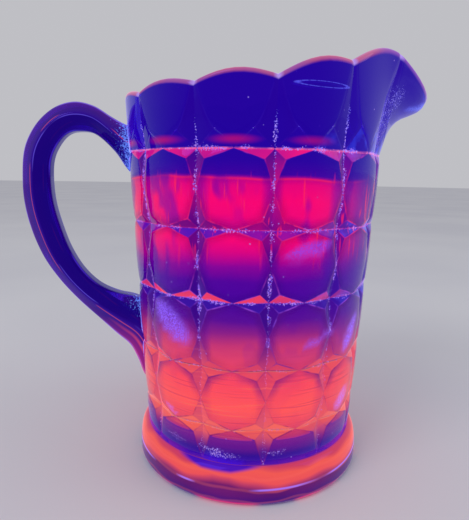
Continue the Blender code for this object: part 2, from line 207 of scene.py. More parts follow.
class Quarter:
    """A quarter of a cube beside one valley crossing: two cut facets and a part of the face.

    Shares run from the valley (0) to the middle of the column (1); heights run from the
    cross valley to the middle of the row, in mm, or to the rim in the collar.
    """

    def __init__(self, column, side, line, way):
        self.column, self.side, self.line, self.way = column, side, line, way
        self.collar = way > 0 and line == len(LINE_Z) - 1
        self.neck = way < 0 and line == 0
        here = LINE_Z[line]
        if self.collar:
            self.half = COLLAR_HALF
            self.corner = (COLLAR_CORNER[0] / self.half, COLLAR_SHARE)
            self.tall = 1.0
            self.mm = COLLAR_CORNER[1] / COLLAR_SHARE
            self.along_v = COLLAR_ALONG
        else:
            self.half = line_radius(here) * HALF
            self.tall = HALF_ROW if self.neck else abs(LINE_Z[line + way] - here) / 2.0
            self.corner = (CORNER_IN / self.half, CORNER_IN)
            self.mm = 1.0
            self.along_v = ALONG

    def cut_v(self, v):
        """Edge between the upright facet and the face."""
        if not self.collar:
            return mix2(self.corner, (0.0, self.tall), v)
        t = lerp(COLLAR_SHARE, 1.0, v)
        return lerp(COLLAR_CORNER[0], COLLAR_GROOVE[0], v ** 0.6) / self.half, t

    def cut_h(self, u):
        """Edge between the level facet and the face."""
        return mix2(self.corner, (1.0, 0.0), u)

    def place(self, kind, u, v):
        """Share and height of a point of one patch."""
        if kind == 'level':
            return mix2((u, 0.0), self.cut_h(u), v)
        if kind == 'upright':
            return mix2((0.0, v * self.tall), self.cut_v(v), u)
        top, right = mix2(self.cut_v(1.0), (1.0, self.tall), u), (1.0, v * self.tall)
        bottom, left = self.cut_h(u), self.cut_v(v)
        corners = mix2(mix2(self.cut_h(0.0), self.cut_v(1.0), v),
                       mix2((1.0, 0.0), (1.0, self.tall), v), u)
        return tuple(lerp(bottom[i], top[i], v) + lerp(left[i], right[i], u) - corners[i]
                     for i in (0, 1))

    def gaps(self, kind, p):
        """Distances in mm from the nearest cut edge and the nearest valley."""
        q = (p[0] * self.half, p[1] * self.mm)
        c = (self.corner[0] * self.half, self.corner[1] * self.mm)
        edge = segment_gap(q, c, (self.half, 0.0))
        if kind != 'face':
            edge = min(edge, segment_gap(q, (0.0, 0.0), c))
        if self.collar:
            if p[1] > COLLAR_SHARE:
                k = (p[1] - COLLAR_SHARE) / (1.0 - COLLAR_SHARE)
                inset = lerp(COLLAR_CORNER[0], COLLAR_GROOVE[0], k ** 0.6)
                edge = min(edge, abs(q[0] - inset))
        else:
            edge = min(edge, segment_gap(q, c, (0.0, self.tall * self.mm)))
        return edge, min(q[0], q[1])

    def relief(self, kind, p, u, v):
        """Height of the surface above the crossing (mm)."""
        share, b = p[0], p[1] * self.mm
        a = share * self.half
        if kind == 'level':
            rate = (1.0 - self.corner[0]) / (self.corner[1] * self.mm)
            h = RELIEF * (share + rate * b)
        elif kind == 'face':
            h = RELIEF + CROWN * (1.0 - (1.0 - u) ** 2.4) * (1.0 - (1.0 - v) ** 2.4)
            if self.collar:
                h = RELIEF + 0.5 * CROWN * (1.0 - (1.0 - u) ** 2) * step(v, 0.0, 0.2) * (1.0 - v)
        elif self.collar:
            wide, narrow = COLLAR_CORNER[0], COLLAR_GROOVE[0]
            if p[1] <= COLLAR_SHARE:
                h = RELIEF * (0.25 * p[1] / COLLAR_SHARE + 0.75 * a / wide)
            else:
                k = ((p[1] - COLLAR_SHARE) / (1.0 - COLLAR_SHARE)) ** 0.6
                sunk = lerp(RELIEF * 0.75, COLLAR_GROOVE[1], k)
                h = RELIEF - sunk * max(0.0, 1.0 - a / lerp(wide, narrow, k))
        else:
            h = RELIEF * (b / self.tall
                          + (1.0 - self.corner[1] / self.tall) * a / CORNER_IN)
        edge, valley = self.gaps(kind, p)
        soft = 1.0 - math.exp(-(a * a + b * b) * 0.08)
        drop = EDGE_DROP * math.exp(-edge / EDGE_REACH)
        fill = 0.0
        if kind != 'face':
            fill = VALLEY_FILL * math.exp(-valley / VALLEY_REACH) * soft
            fill *= 1.0 - math.exp(-2.0 * max(0.0, 1.0 - share))
            fill *= 1.0 - math.exp(-2.0 * max(0.0, 1.0 - p[1] / self.tall))
        if self.neck:
            h -= NECK_TUCK * step(b / self.tall, 0.3, 1.0)
        return h - drop + fill

    def point(self, kind, u, v):
        """World point in metres, and what the finish needs to know about it."""
        p = self.place(kind, u, v)
        h = self.relief(kind, p, u, v)
        angle = self.column * COLUMN + self.side * p[0] * HALF
        if self.collar:
            r, z = collar_point(angle, p[1], h)
            level = len(LINE_Z) + p[1]
        else:
            z = LINE_Z[self.line] + self.way * p[1]
            r = line_radius(z) + h
            level = self.line + 1 + self.way * p[1] / self.tall * (1.0 if self.neck else 0.5)
        edge, valley = self.gaps(kind, p)
        at = (r * MM * math.cos(angle), r * MM * math.sin(angle), z * MM)
        return at, (edge, valley, level)


# frosty patches of wear: angle, height, half length, half width (mm), tilt, strength
FROST = [(-110.0, 19.4, 11.0, 3.4, -2.0, 0.95), (-9.0, 190.0, 4.5, 1.8, 12.0, 0.9),
         (-135.0, 86.0, 14.0, 6.5, -38.0, 1.0), (-74.0, 122.5, 12.0, 3.4, 14.0, 0.8),
         (-44.0, 79.0, 11.0, 4.2, 62.0, 1.0), (-46.0, 44.0, 6.5, 4.2, 50.0, 0.95),
         (-66.0, 80.5, 9.0, 1.6, 15.0, 0.6), (-138.0, 40.0, 5.0, 1.3, -32.0, 0.7),
         (44.0, 112.0, 11.0, 4.0, 30.0, 0.8), (76.0, 52.0, 9.0, 4.0, -25.0, 0.8),
         (106.0, 82.0, 11.0, 3.6, 35.0, 0.9), (138.0, 118.0, 10.0, 3.5, -20.0, 0.7)]
# scaly residue: the same, above the foot, on the collar and beside the handle
RESIDUE = [(-112.0, 24.0, 13.0, 2.8, -4.0, 0.46), (-84.0, 24.5, 9.0, 2.6, 4.0, 0.40),
           (-135.0, 25.5, 9.0, 3.0, -6.0, 0.38), (-28.0, 182.0, 20.0, 10.0, 72.0, 0.35),
           (80.0, 24.0, 13.0, 2.6, 3.0, 0.38), (140.0, 25.0, 10.0, 2.6, -4.0, 0.36),
           (-150.0, 150.0, 24.0, 1.8, 90.0, 0.44), (150.0, 150.0, 24.0, 1.8, 90.0, 0.44),
           (-168.0, 172.0, 17.0, 4.5, 85.0, 0.44), (168.0, 172.0, 17.0, 4.5, 95.0, 0.44),
           (-176.0, 60.0, 10.0, 5.0, 80.0, 0.36)]
# a painted lens-shaped outline of light in the collar, where the far rim shows through: angle, height,
# half length, half width (mm)
FAR_RIM_GLIMPSE = (-73.0, 190.5, 12.0, 1.1)


def worn(patches, angle, z):
    """Strength of the strongest patch of wear at an angle (degrees) and height (mm)."""
    most = 0.0
    for at, height, length, width, tilt, strength in patches:
        across = math.radians(math.remainder(angle - at, 360.0)) * line_radius(height)
        rise = z - height
        c, s = math.cos(math.radians(tilt)), math.sin(math.radians(tilt))
        p, q = (across * c + rise * s) / length, (rise * c - across * s) / width
        most = max(most, strength * (1.0 - step(p * p + q * q, 0.35, 1.25)))
    return most


def wear_at(at):
    """Frost and residue at a point in metres."""
    angle, z = math.degrees(math.atan2(at[1], at[0])), at[2] / MM
    return worn(FROST, angle, z), worn(RESIDUE, angle, z)


# ---- meshes -------------------------------------------------------------------------------
def finish_mesh(name, bm, materials):
    """Make a smooth-shaded piece from a closed bmesh."""
    bmesh.ops.recalc_face_normals(bm, faces=bm.faces)
    if bm.calc_volume(signed=True) < 0.0:
        bmesh.ops.reverse_faces(bm, faces=bm.faces)
    for face in bm.faces:
        face.smooth = True
    mesh = bpy.data.meshes.new(name)
    bm.to_mesh(mesh)
    bm.free()
    for material in materials:
        mesh.materials.append(material)
    piece = bpy.data.objects.new(name, mesh)
    bpy.context.scene.collection.objects.link(piece)
    return piece


def patch(bm, layers, quarter, kind, us, vs):
    """Mesh one patch of a quarter cube and note its finish on every corner."""
    grid = [[quarter.point(kind, u, v) for v in vs] for u in us]
    verts = [[bm.verts.new(at) for at, note in column] for column in grid]
    facet = (float(kind == 'level'), float(kind == 'upright') * quarter.side, float(quarter.way))
    for i in range(len(us) - 1):
        for j in range(len(vs) - 1):
            ids = [(i, j), (i + 1, j), (i + 1, j + 1), (i, j + 1)]
            if quarter.side * quarter.way < 0:
                ids.reverse()
            face = bm.faces.new([verts[a][b] for a, b in ids])
            for loop, (a, b) in zip(face.loops, ids):
                loop[layers[0]] = grid[a][b][1]
                loop[layers[1]] = facet
                share = quarter.place(kind, us[a], vs[b])[0]
                loop[layers[2]] = wear_at(grid[a][b][0]) + (share,)


def ring_verts(bm, ring):
    """Vertices for a ring of (angle, radius, height) in mm."""
    return [bm.verts.new((r * MM * math.cos(a), r * MM * math.sin(a), z * MM)) for a, r, z in ring]


def bridge(bm, rings):
    """Faces between each closed ring of vertices and the next, listed with their places."""
    made = []
    for k in range(len(rings) - 1):
        for i in range(len(rings[k])):
            j = (i + 1) % len(rings[k])
            face = bm.faces.new((rings[k][i], rings[k + 1][i], rings[k + 1][j], rings[k][j]))
            made.append((face, k, i, j))
    return made


def rim_angles():
    """Angles and shares of the outer rim's vertices, all the way round."""
    last = Quarter(0, 1, len(LINE_Z) - 1, 1)
    groove = last.cut_v(1.0)[0]
    shares = [groove * w for w in ACROSS] + [lerp(groove, 1.0, u) for u in ALONG[1:]]
    out = []
    for column in range(COLUMNS):
        out += [(column, 1, s) for s in shares]
        out += [(column + 1, -1, s) for s in shares[-2:0:-1]]
    return out


def outer_rim(column, side, share):
    """Angle, radius and height of the outer rim edge."""
    q = Quarter(column % COLUMNS, side, len(LINE_Z) - 1, 1)
    groove = q.cut_v(1.0)[0]
    if share <= groove + 1e-9:
        at = q.point('upright', share / groove, 1.0)[0]
    else:
        at = q.point('face', (share - groove) / (1.0 - groove), 1.0)[0]
    return column * COLUMN + side * share * HALF, math.hypot(at[0], at[1]) / MM, at[2] / MM


def inner_collar(angle, t):
    """Smooth inside of the collar at a share t of the way up."""
    r, z = collar_point(angle, t, RELIEF)
    pull = spout_pull(angle)
    wall = lerp(WALL + RELIEF, RIM_WALL, t)
    tilt = pull * min(1.0, t * 1.6)
    rise = wall * tilt * (1.0 - t) ** 0.25
    return angle, r - wall * (1.0 - 0.65 * tilt), z + rise


def ripple(angle, z):
    """Slight waviness of the plunger side (mm)."""
    return 0.10 * math.sin(5.0 * angle + z * 0.05) * math.sin(z * 0.11 + 2.0 * math.sin(angle))


def pressed_body(clear, glow):
    """Bowl, collar and spout: pressed outside, fire-polished rim, smooth inside."""
    bm = bmesh.new()
    layers = (bm.loops.layers.float_vector.new('cube'),
              bm.loops.layers.float_vector.new('facet'),
              bm.loops.layers.float_vector.new('wear'))
    for column in range(COLUMNS):
        for side in (1, -1):
            for line in range(len(LINE_Z)):
                for way in (1, -1):
                    q = Quarter(column, side, line, way)
                    patch(bm, layers, q, 'level', ALONG, ACROSS)
                    patch(bm, layers, q, 'upright', ACROSS, q.along_v)
                    patch(bm, layers, q, 'face', ALONG, q.along_v)
    bmesh.ops.remove_doubles(bm, verts=bm.verts, dist=MERGE)
    seam = [v for v in bm.verts if abs(v.co.z - TOP_Z * MM) < 1e-6]
    bmesh.ops.remove_doubles(bm, verts=seam, dist=SEAM_MERGE)

    # rim: half an ellipse from the outer edge over to the inner edge
    around = rim_angles()
    edges = [outer_rim(*a) for a in around]
    rim_level = len(LINE_Z) + 1.0
    rings = []
    for turn in range(RIM_STEPS + 1):
        q = math.pi * turn / RIM_STEPS
        ring = []
        for angle, r, z in edges:
            ir, iz = inner_collar(angle, 1.0)[1:]
            k = (1.0 - math.cos(q)) / 2.0
            ring.append((angle, lerp(r, ir, k), lerp(z, iz, k) + RIM_ROUND * math.sin(q)))
        rings.append(ring)
    for t in INSIDE:
        rings.append([inner_collar(angle, t) for angle, r, z in edges])
    collar_rings = len(rings)
    low = FLOOR_Z + FLOOR_ROUND
    for k in range(1, 33):
        z = lerp(TOP_Z, low, k / 32.0)
        calm = step(z, low, low + 20.0) * (1.0 - step(z, TOP_Z - 20.0, TOP_Z))
        rings.append([(angle, line_radius(z) - WALL + calm * ripple(angle, z), z)
                      for angle, r, zz in edges])
    foot_r = line_radius(low) - WALL
    for q in range(10, 91, 10):
        s, k = math.sin(math.radians(q)), 1.0 - math.cos(math.radians(q))
        rings.append([(angle, foot_r - FLOOR_ROUND * k, low - FLOOR_ROUND * s)
                      for angle, r, z in edges])
    for share in (0.8, 0.6, 0.4, 0.2):
        rings.append([(angle, (foot_r - FLOOR_ROUND) * share, FLOOR_Z - FLOOR_DIP * (1.0 - share))
                      for angle, r, z in edges])
    made = [ring_verts(bm, ring) for ring in rings]
    n = len(edges)
    for face, k, i, j in bridge(bm, made):
        face.material_index = 1 if k >= collar_rings - 1 else 0
        for loop in face.loops:
            deep = k if loop.vert in (made[k][i], made[k][j]) else k + 1
            over = min(deep, RIM_STEPS) / RIM_STEPS
            loop[layers[0]] = (FAR, FAR, rim_level + over + 0.1 * max(0, deep - RIM_STEPS))
            at = i if loop.vert in (made[k][i], made[k + 1][i]) else j
            loop[layers[2]] = (0.0, 0.0, around[at][2])
    tip = bm.verts.new((0.0, 0.0, (FLOOR_Z - FLOOR_DIP) * MM))
    for i in range(n):
        face = bm.faces.new((made[-1][i], tip, made[-1][(i + 1) % n]))
        face.material_index = 1

    # underside of the bowl, a plain disc
    shares = [0.0] + ALONG[1:]
    neck = []
    for column in range(COLUMNS):
        for side, run in ((1, shares), (-1, shares[-2:0:-1])):
            for s in run:
                q = Quarter((column + (side < 0)) % COLUMNS, side, 0, -1)
                neck.append(bm.verts.new(q.point('face', s, 1.0)[0]))
    tip = bm.verts.new((0.0, 0.0, NECK_Z * MM))
    mid = [bm.verts.new((v.co.x * 0.5, v.co.y * 0.5, v.co.z)) for v in neck]
    for i in range(len(neck)):
        j = (i + 1) % len(neck)
        for ids in ((neck[i], neck[j], mid[j], mid[i]), (mid[i], mid[j], tip)):
            face = bm.faces.new(ids)
            face.material_index = 1
    bmesh.ops.remove_doubles(bm, verts=bm.verts, dist=MERGE)
    return finish_mesh('pitcher_body', bm, [clear, glow])


def pitcher_foot(clear, glow):
    """Turned foot with a rounded shoulder and a ground underside."""
    top = NECK_R + FOOT_LEDGE
    shoulder = [(0.0, 0.0), (0.09, 0.36), (0.39, 0.77), (1.0, 1.0)]
    profile = [(0.0, FOOT_Z, 1), (top * 0.5, FOOT_Z, 1), (top - 6.0, FOOT_Z, 1),
               (top - 1.2, FOOT_Z, 1), (top - 0.3, FOOT_Z, 0)]
    for k in range(len(shoulder) - 1):
        for j in range(5):
            q, share = catmull(shoulder, k, j / 5.0)
            drop = FOOT_SHOULDER * max(q, 0.0)
            profile.append((lerp(top, FOOT_R, min(share, 1.0)), FOOT_Z - drop, 0))
    for k in range(0, 11):
        a = math.radians(9.0 * k)
        profile.append((FOOT_R - FOOT_EDGE * (1.0 - math.cos(a)),
                        FOOT_EDGE * (1.0 - math.sin(a)), 0))
    inner = FOOT_R - FOOT_EDGE
    profile += [(inner - 0.6, 0.0, 1), (inner - 8.0, 0.0, 1), (inner * 0.5, 0.0, 1), (0.0, 0.0, 1)]
    bm = bmesh.new()
    steps = 192
    rings = [ring_verts(bm, [(2.0 * math.pi * i / steps, r, z) for i in range(steps)])
             for r, z, slot in profile[1:-1]]
    for face, k, i, j in bridge(bm, rings):
        face.material_index = profile[k + 1][2] if k < 3 else profile[k + 2][2]
    for ring, z in ((rings[0], FOOT_Z), (rings[-1], 0.0)):
        tip = bm.verts.new((0.0, 0.0, z * MM))
        for i in range(steps):
            face = bm.faces.new((ring[i], ring[(i + 1) % steps], tip))
            face.material_index = 1
    return finish_mesh('pitcher_foot', bm, [clear, glow])


def handle_section(row):
    """Rounded six-sided section of the handle at one station, with its place round the bar."""
    out_reach, out_h, in_reach, in_h, share = row
    run = (TOP_Z - LOW_Z) / (sum(ROW_HEIGHTS))
    oz, iz = LOW_Z + out_h * run, LOW_Z + in_h * run
    ox, ix = line_radius(oz) + out_reach, line_radius(iz) + in_reach
    w = HANDLE_HALF * share
    flat = w * HANDLE_FLAT
    # corners as (share from the outer to the inner edge, sideways in mm, place round the bar)
    six = [(0.0, flat, 0.5), (HANDLE_SIDE, w, 2.0), (1.0, flat, 3.5),
           (1.0, -flat, 3.5), (HANDLE_SIDE, -w, 2.0), (0.0, -flat, 0.5)]
    rounds = [0.14, 0.16, 0.16, 0.16, 0.16, 0.14]
    ring = []
    for i in range(6):
        prev, here, nxt = six[i - 1], six[i], six[(i + 1) % 6]
        c = rounds[i]
        a = [lerp(here[k], prev[k], c) for k in range(3)]
        b = [lerp(here[k], nxt[k], c) for k in range(3)]
        for t in (0.0, 0.25, 0.5, 0.75, 1.0):
            p = [lerp(lerp(a[k], here[k], t), lerp(here[k], b[k], t), t) for k in range(3)]
            ring.append(p)
        far = [lerp(nxt[k], here[k], rounds[(i + 1) % 6]) for k in range(3)]
        for t in (0.2, 0.5, 0.8):
            ring.append([lerp(b[k], far[k], t) for k in range(3)])
    return [(-lerp(ox, ix, s), y, lerp(oz, iz, s), place) for s, y, place in ring]


def skin_cutter():
    """Solid patch of the pressed outside where the handle joins, one small gap larger."""
    bm = bmesh.new()
    columns, rows = 88, 210
    sheet = []
    for i in range(columns + 1):
        angle = math.pi + math.radians(-22.0 + 44.0 * i / columns)
        column = int(round(angle / COLUMN))
        offset = angle - column * COLUMN
        share = min(1.0, abs(offset) / HALF)
        line_up = []
        for j in range(rows + 1):
            z = lerp(LOW_Z + 1.0, TOP_Z + 18.0, j / rows)
            if z >= TOP_Z:
                t = (z - TOP_Z) / (rim_height(angle) - TOP_Z)
                line_up.append((angle, FACE_R + RIM_OUT * t + SKIN_GAP, z))
                continue
            k = max(i for i, zz in enumerate(LINE_Z) if zz <= z)
            half = (LINE_Z[k + 1] - LINE_Z[k]) / 2.0
            b = half - abs(z - LINE_Z[k] - half)
            a = share * line_radius(z) * HALF
            level = RELIEF * (share + (1.0 - CORNER_IN / (line_radius(z) * HALF)) / CORNER_IN * b)
            upright = RELIEF * (b / half + (1.0 - CORNER_IN / half) * a / CORNER_IN)
            crown = CROWN * min(1.0, a / 6.0, b / 6.0)
            relief = min(level, upright, RELIEF + crown)
            line_up.append((angle, line_radius(z) + relief + SKIN_GAP, z))
        sheet.append(ring_verts(bm, line_up))
    core = [[bm.verts.new((v.co.x * 0.4, v.co.y * 0.4, v.co.z)) for v in line_up]
            for line_up in sheet]
    for i in range(columns):
        for j in range(rows):
            bm.faces.new((sheet[i][j], sheet[i + 1][j], sheet[i + 1][j + 1], sheet[i][j + 1]))
            bm.faces.new((core[i][j + 1], core[i + 1][j + 1], core[i + 1][j], core[i][j]))
    for j in range(rows):
        bm.faces.new((sheet[0][j + 1], core[0][j + 1], core[0][j], sheet[0][j]))
        bm.faces.new((sheet[-1][j], core[-1][j], core[-1][j + 1], sheet[-1][j + 1]))
    for i in range(columns):
        bm.faces.new((sheet[i][0], core[i][0], core[i + 1][0], sheet[i + 1][0]))
        bm.faces.new((sheet[i + 1][-1], core[i + 1][-1], core[i][-1], sheet[i][-1]))
    return finish_mesh('skin_cutter', bm, [])


def pitcher_handle(clear):
    """Handle put on hot: one drawn bar, seated on the cubes at both ends."""
    bm = bmesh.new()
    bar = bm.loops.layers.float_vector.new('bar')
    rings = []
    steps = 7
    for k in range(len(HANDLE) - 1):
        for j in range(steps):
            rings.append(handle_section(catmull(HANDLE, k, j / steps)))
    rings.append(handle_section(HANDLE[-1]))
    verts = [[bm.verts.new((x * MM, y * MM, z * MM)) for x, y, z, place in ring] for ring in rings]
    for face, k, i, j in bridge(bm, verts):
        for loop, (a, b) in zip(face.loops, ((k, i), (k + 1, i), (k + 1, j), (k, j))):
            loop[bar] = (rings[a][b][3], a / steps, 0.0)
    bm.faces.new(verts[0])
    bm.faces.new(verts[-1])
    piece = finish_mesh('pitcher_handle', bm, [clear])
    cutter = skin_cutter()
    cut = piece.modifiers.new('seat', 'BOOLEAN')
    cut.operation, cut.solver, cut.object = 'DIFFERENCE', 'EXACT', cutter
    depsgraph = bpy.context.evaluated_depsgraph_get()
    mesh = bpy.data.meshes.new_from_object(piece.evaluated_get(depsgraph))
    piece.modifiers.clear()
    piece.data = mesh
    bpy.data.objects.remove(cutter, do_unlink=True)
    # the cut leaves slivers under 0.02 mm wide, which are closed up
    bm = bmesh.new()
    bm.from_mesh(mesh)
    bmesh.ops.triangulate(bm, faces=bm.faces)
    bmesh.ops.remove_doubles(bm, verts=bm.verts, dist=SEAM_MERGE)
    bmesh.ops.dissolve_degenerate(bm, edges=bm.edges, dist=1e-5)
    bmesh.ops.triangulate(bm, faces=bm.faces)
    same = {}
    for face in bm.faces:
        same.setdefault(frozenset(v.index for v in face.verts), []).append(face)
    folded = [face for faces in same.values() if len(faces) > 1 for face in faces]
    bmesh.ops.delete(bm, geom=folded, context='FACES')
    bm.to_mesh(mesh)
    bm.free()
    return piece


# ---- materials ----------------------------------------------------------------------------
RAMP_TOP = 210.0                                 # height at the end of the colour ramps, in mm
REFLECTED = '#6848ff'                            # the violet cast of what the glass reflects
BLACK = '#000000'
ALL = slice(None)                                # every output of a node
SMOOTH = {'interpolation_type': 'SMOOTHSTEP'}
PAINT = {'out': 2, 'data_type': 'RGBA'}          # a Mix of colours: its inputs 6 and 7, its output 2
GLASS_IOR = 1.5                                  # of common pressed glass


def colour(code):
    """Linear colour from an sRGB hex code."""
    parts = [int(code[i:i + 2], 16) / 255.0 for i in (1, 3, 5)]
    return tuple(c / 12.92 if c <= 0.04045 else ((c + 0.055) / 1.055) ** 2.4
                 for c in parts) + (1.0,)


def add_node(tree, kind, *values, out=0, stops=None, **settings):
    """Add a node, set it up, join or fill its inputs, which come in order or by their keys, and
    give back one output, or a slice of them.  Hex codes are turned to colours."""
    node = tree.nodes.new('ShaderNode' + kind)
    for name, value in settings.items():
        setattr(node, name, value)
    if stops:
        ramp = node.color_ramp
        while len(ramp.elements) > 1:
            ramp.elements.remove(ramp.elements[-1])
        for number, (at, value) in enumerate(stops):
            element = ramp.elements[0] if number == 0 else ramp.elements.new(at)
            element.position = at
            element.color = colour(value)
    named = values[0] if values and isinstance(values[0], dict) else dict(enumerate(values))
    for key, value in named.items():
        if isinstance(value, bpy.types.NodeSocket):
            tree.links.new(value, node.inputs[key])
        else:
            node.inputs[key].default_value = colour(value) if isinstance(value, str) else value
    return node.outputs[out]


def glass(name, base, roughness, transmission):
    """Start a glass material; gives back the material, its tree, its shader, the node function
    for that tree, and the place on the piece."""
    material = bpy.data.materials.new(name)
    material.use_nodes = True
    tree = material.node_tree
    tree.nodes.clear()
    shader = tree.nodes.new('ShaderNodeBsdfPrincipled')
    ending = tree.nodes.new('ShaderNodeOutputMaterial')
    tree.links.new(shader.outputs[0], ending.inputs['Surface'])
    shader.inputs['Base Color'].default_value = colour(base)
    shader.inputs['Roughness'].default_value = roughness
    shader.inputs['IOR'].default_value = GLASS_IOR
    shader.inputs['Transmission Weight'].default_value = transmission
    put = partial(add_node, tree)
    return material, tree, shader, put, put('TexCoord', out='Object')


def z_stops(rows):
    """Colour ramp stops from heights in mm."""
    return [(z / RAMP_TOP, code) for z, code in rows]


def ridge(put, value, centre, full, gone, most=1.0):
    """Mask that is strongest within full of the centre and has faded out at gone."""
    off = put('Math', value, centre, operation='SUBTRACT')
    off = put('Math', off, operation='ABSOLUTE')
    return put('MapRange', off, full, gone, most, 0.0)


def lay(put, state, paint, *masks):
    """Lay a coloured film where all its masks are: state is the light that the films give and
    how much they cover."""
    mask = masks[0]
    for other in masks[1:]:
        mask = put('Math', mask, other, operation='MULTIPLY')
    light = put('Mix', {0: mask, 6: state[0], 7: paint}, **PAINT)
    return light, put('Mix', {0: mask, 2: state[1], 3: 1.0})


def settle(tree, put, shader, state, tint, rough=None):
    """Join the films to the shader: what they cover lets no tinted light through."""
    bare = put('Math', 1.0, state[1], operation='SUBTRACT')
    bare = put('Math', bare, bare, operation='MULTIPLY')
    base = put('Mix', {0: bare, 6: BLACK, 7: tint}, **PAINT)
    tree.links.new(base, shader.inputs['Base Color'])
    tree.links.new(state[0], shader.inputs['Emission Color'])
    shader.inputs['Emission Strength'].default_value = 1.0
    shader.inputs['Specular Tint'].default_value = colour(REFLECTED)
    if rough:
        tree.links.new(rough, shader.inputs['Roughness'])


# colours of the glow up the bowl: at the heart of a cube, and near its edges and sides
HEART = [(18, '#3a0a98'), (30, '#c03468'), (37, '#ea4a5e'), (46, '#ff5a52'), (57, '#fb4c56'),
         (64, '#f04460'), (70, '#e04464'), (77, '#c8386c'), (83, '#8c2080'), (89, '#580c90'),
         (99, '#480098'), (107, '#500096'), (114, '#8a0092'), (121, '#e0007a'), (127, '#ff026a'),
         (131, '#c80080'), (137, '#f8026e'), (143, '#ff026a'), (150, '#ec0074'), (151.8, '#d8007c'),
         (152.3, '#fa1c64'), (152.9, '#fa1c64'), (153.4, '#8c0094'), (154, '#4800a0'), (168, '#3000a6')]
SHADE = [(18, '#2c0a90'), (30, '#8a2878'), (40, '#d84060'), (52, '#e8445c'), (62, '#b02a74'),
         (75, '#7a1490'), (90, '#500096'), (110, '#44009a'), (127, '#6c0098'), (141, '#66009a'),
         (153, '#4c00a0'), (156, '#3c00a4'), (168, '#2c00a8')]


def glowing_wall(name):
    """Inside wall of glass that glows in its depth: an even, soft light with no grain."""
    material, tree, shader, put, where = glass(name, '#0c0014', 0.10, 0.0)
    shader.inputs['Specular Tint'].default_value = colour(REFLECTED)
    shader.inputs['Specular IOR Level'].default_value = 0.2
    x, y, z = put('SeparateXYZ', where, out=ALL)
    sway = put('TexNoise', {'Vector': where, 'Scale': 1.0 / (30.0 * MM), 'Detail': 1.0}, out='Fac')
    sway = put('MapRange', sway, 0.35, 0.65, -0.004, 0.004)
    up = put('Math', z, 1.0 / (RAMP_TOP * MM), sway, operation='MULTIPLY_ADD')
    heart = put('ValToRGB', up, stops=z_stops(HEART))
    shade = put('ValToRGB', up, stops=z_stops(SHADE))
    # clouds about 13 mm across and twice as tall, as the thickness of the wall changes
    drawn = put('VectorMath', where, (1.0, 1.0, 0.5), operation='MULTIPLY', out='Vector')
    clouds = put('TexNoise', {'Vector': drawn, 'Scale': 1.0 / (13.0 * MM), 'Detail': 2.0},
                 out='Fac')
    # the glow gathers where the wall is thickest, a little behind the middle of each side
    thick = ridge(put, x, -14.0 * MM, 4.0 * MM, 26.0 * MM, 0.09)
    clouds = put('Math', clouds, thick, operation='ADD')
    clouds = put('MapRange', clouds, 0.36, 0.51, 0.36, 1.0, **SMOOTH)
    steady = put('MapRange', z, 92.0 * MM, 104.0 * MM, 0.8, 0.0)
    clouds = put('Math', clouds, steady, operation='MAXIMUM')
    # the glow weakens towards the spout, most of all high up
    away = put('MapRange', x, 20.0 * MM, 50.0 * MM, 1.0, 0.0, **SMOOTH)
    low = put('MapRange', z, 62.0 * MM, 92.0 * MM, 0.75, 0.0)
    away = put('Math', away, low, operation='MAXIMUM')
    heat = put('Math', clouds, away, operation='MULTIPLY')
    # darker behind each upright valley: twelve soft bands round the bowl
    turn = put('Math', y, x, operation='ARCTAN2')
    bands = put('Math', turn, float(COLUMNS), operation='MULTIPLY')
    bands = put('Math', bands, operation='COSINE')
    bands = put('MapRange', bands, 0.55, 0.98, 1.0, 0.45)
    floor = put('MapRange', z, (FLOOR_Z + 3.0) * MM, (FLOOR_Z + 12.0) * MM, 1.0, 0.0)
    bands = put('Math', bands, floor, operation='MAXIMUM')
    heat = put('Math', heat, bands, operation='MULTIPLY')
    glow = put('Mix', {0: heat, 6: shade, 7: heart}, **PAINT)
    tree.links.new(glow, shader.inputs['Emission Color'])
    shader.inputs['Emission Strength'].default_value = 1.0
    return material


# light sent out by the small facets, by height: above a cross valley, below one, and upright;
# then the colours of the dust and of the painted highlights on the cube edges
ABOVE = [(24, '#c84050'), (34, '#f26454'), (46, '#f26454'), (58, '#d84058'), (74, '#d84058'),
         (92, '#f03c5c'), (108, '#f03c5c'), (124, '#6c0078'), (145, '#6c0078'), (160, '#24009c'),
         (180, '#24009c')]
BELOW = [(24, '#c84050'), (34, '#f2604e'), (46, '#f2604e'), (58, '#e85058'), (72, '#e85058'),
         (88, '#38109c'), (104, '#38109c'), (120, '#3414b8'), (138, '#3414b8'), (152, '#f0187c'),
         (180, '#f0187c')]
UPRIGHT = [(20, '#c84068'), (36, '#f06058'), (50, '#e04860'), (64, '#e84c58'), (72, '#c03868'),
           (84, '#5a1488'), (98, '#480e98'), (106, '#4a0a90'), (115, '#5c0088'), (130, '#700a90'),
           (142, '#c00c78'), (154, '#c01078'), (163, '#8c0c84'), (165, '#2400a0'), (200, '#2400a0')]
DUST = [(26, '#b890e8'), (34, '#f87880'), (60, '#f080b0'), (85, '#b488f8'), (130, '#d080f0'),
        (165, '#c090ff'), (180, '#9c90ff')]
EDGE_HIGHLIGHTS = [(30, '#8a1c60'), (50, '#8c2060'), (62, '#64106c'), (78, '#7030a8'), (90, '#8848e0'),
         (120, '#b02080'), (140, '#ff2468'), (160, '#c82088'), (172, '#5030d8')]
# just below and just above each cross valley, from the lowest up
ROOTS = [(z + off, code) for z, pair in zip(LINE_Z, (
    ('#ff8860', '#34106c'), ('#ffa070', '#64105c'), ('#3818a0', '#f0508c'),
    ('#6a18b0', '#ff3068'), ('#ff3c80', '#ff70a8'))) for off, code in zip((-0.1, 0.1), pair)]


